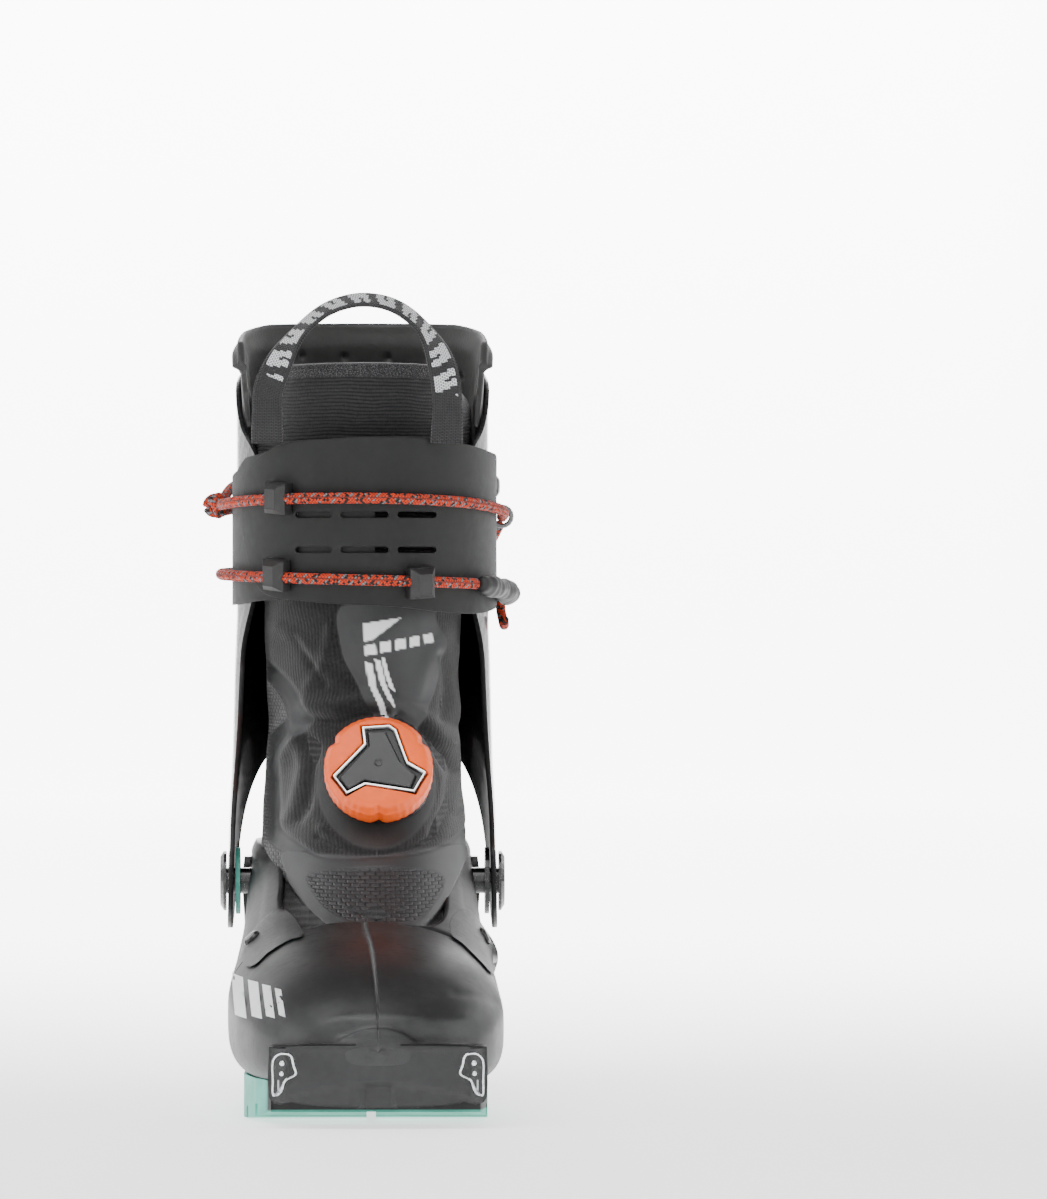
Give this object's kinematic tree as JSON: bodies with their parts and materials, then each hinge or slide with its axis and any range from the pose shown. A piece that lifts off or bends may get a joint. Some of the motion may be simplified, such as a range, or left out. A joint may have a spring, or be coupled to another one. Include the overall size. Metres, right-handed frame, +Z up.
{
  "type": "alpine touring boot",
  "caption": "Right-foot alpine touring boot: plastic shell with pin-binding fittings, stretch gaiter, lace dial and a pivoting carbon cuff with cord closure and rear walk lever.",
  "frame": {"origin": "bottom centre of the bounding box, on the ground", "axes": "+Z up, the toe points to -Y and the heel to +Y, +X is the inner (medial) side of the right foot"},
  "size_m": [0.113, 0.286, 0.2861],
  "materials": {
    "shell_plastic": "fine matt grain",
    "frame_plastic": "smooth gloss",
    "carbon_laminate": "clear-coated 2x2 twill",
    "collar_foam": "soft satin",
    "flap_plastic": "flexible sheet, satin",
    "liner_fabric": "ribbed stretch knit",
    "gaiter_fabric": "brushed stretch with welded film",
    "teal_rubber": "moulded",
    "dark_rubber": "moulded",
    "steel": "bright",
    "anodised_alloy": "grey anodised",
    "orange_rubber": "soft-touch",
    "braided_cord": "braided, orange and grey"
  },
  "bodies": {
    "shell": {"catch_pin": "steel", "catch_plate": "anodised_alloy", "catch_screw": "steel", "dial_base": "frame_plastic", "footbed": "liner_fabric", "gaiter": "gaiter_fabric", "heel_fitting": "steel", "heel_fitting_screw": "steel", "heel_frame": "frame_plastic", "liner_foot": "liner_fabric", "lower_shell": "shell_plastic", "outsole_forefoot": "teal_rubber", "outsole_heel": "dark_rubber", "pivot_cap_lateral": "frame_plastic", "pivot_cap_medial": "frame_plastic", "pivot_washer_lateral": "teal_rubber", "pivot_washer_medial": "frame_plastic", "shell_screw_lateral": "frame_plastic", "shell_screw_medial": "frame_plastic", "toe_block": "shell_plastic", "toe_fitting_lateral": "steel", "toe_fitting_medial": "steel"},
    "cuff": {"cuff": "carbon_laminate", "spoiler": "collar_foam", "flap_front": "flap_plastic", "flap_under": "flap_plastic", "liner_shaft": "liner_fabric", "pull_loop": "liner_fabric", "cleat_upper": "dark_rubber", "cleat_lower_lateral": "dark_rubber", "cleat_lower_medial": "dark_rubber", "cord_front_upper": "braided_cord", "cord_front_lower": "braided_cord", "cord_tail": "braided_cord", "pull_end": "dark_rubber", "collar_rivet_medial": "frame_plastic", "collar_rivet_lateral": "frame_plastic", "stud_upper_lateral": "steel", "stud_lower_lateral": "steel", "stud_upper_medial": "steel", "stud_lower_medial": "steel", "lever_bracket": "anodised_alloy", "bracket_screw": "steel", "hinge_bolt": "steel", "cord_arm_medial": "braided_cord", "cord_arm_lateral": "braided_cord"},
    "lever": {"lever_bar": "anodised_alloy", "lever_hook": "anodised_alloy", "cord_lever_run": "braided_cord"},
    "dial_core": {"dial_core": "frame_plastic"},
    "dial_knob": {"knob_grip": "orange_rubber", "knob_face": "frame_plastic"},
    "link_upper_lateral": {"link_upper_lateral": "anodised_alloy", "cord_end_knot": "braided_cord"},
    "ring_lower_lateral": {"ring_lower_lateral": "anodised_alloy"},
    "ring_upper_medial": {"ring_upper_medial": "anodised_alloy"}
  },
  "joints": [
    {"name": "cuff_pivot", "type": "hinge", "parent": "shell", "child": "cuff", "pos_m": [0.00021, 0.046, 0.077], "axis": [1, 0, 0], "range_deg": [-12, 20], "deforming": ["gaiter"]},
    {"name": "lever_lift", "type": "hinge", "parent": "cuff", "child": "lever", "pos_m": [0.00021, 0.1326, 0.162], "axis": [1, 0, 0], "range_deg": [0, 100], "deforming": ["cord_arm_medial", "cord_arm_lateral"]},
    {"name": "dial_pop", "type": "slide", "parent": "shell", "child": "dial_core", "axis": [0, -0.9063, 0.4226], "range_m": [0, 0.004]},
    {"name": "dial_turn", "type": "hinge", "parent": "dial_core", "child": "dial_knob", "pos_m": [0.00581, -0.02289, 0.1165], "axis": [0, -0.9063, 0.4226], "continuous": true},
    {"name": "link_upper_lateral_swivel", "type": "hinge", "parent": "cuff", "child": "link_upper_lateral", "pos_m": [-0.01929, 0.10972, 0.218], "axis": [-0.4443, 0.8796, 0.1698], "range_deg": [-6, 6]},
    {"name": "ring_lower_lateral_swivel", "type": "hinge", "parent": "cuff", "child": "ring_lower_lateral", "pos_m": [-0.03529, 0.09813, 0.1966], "axis": [-0.847, 0.5274, 0.0665], "range_deg": [-6, 6]},
    {"name": "ring_upper_medial_swivel", "type": "hinge", "parent": "cuff", "child": "ring_upper_medial", "pos_m": [0.04574, 0.0618, 0.219], "axis": [0.9979, 0.064, 0.0054], "range_deg": [-6, 6]}
  ]
}
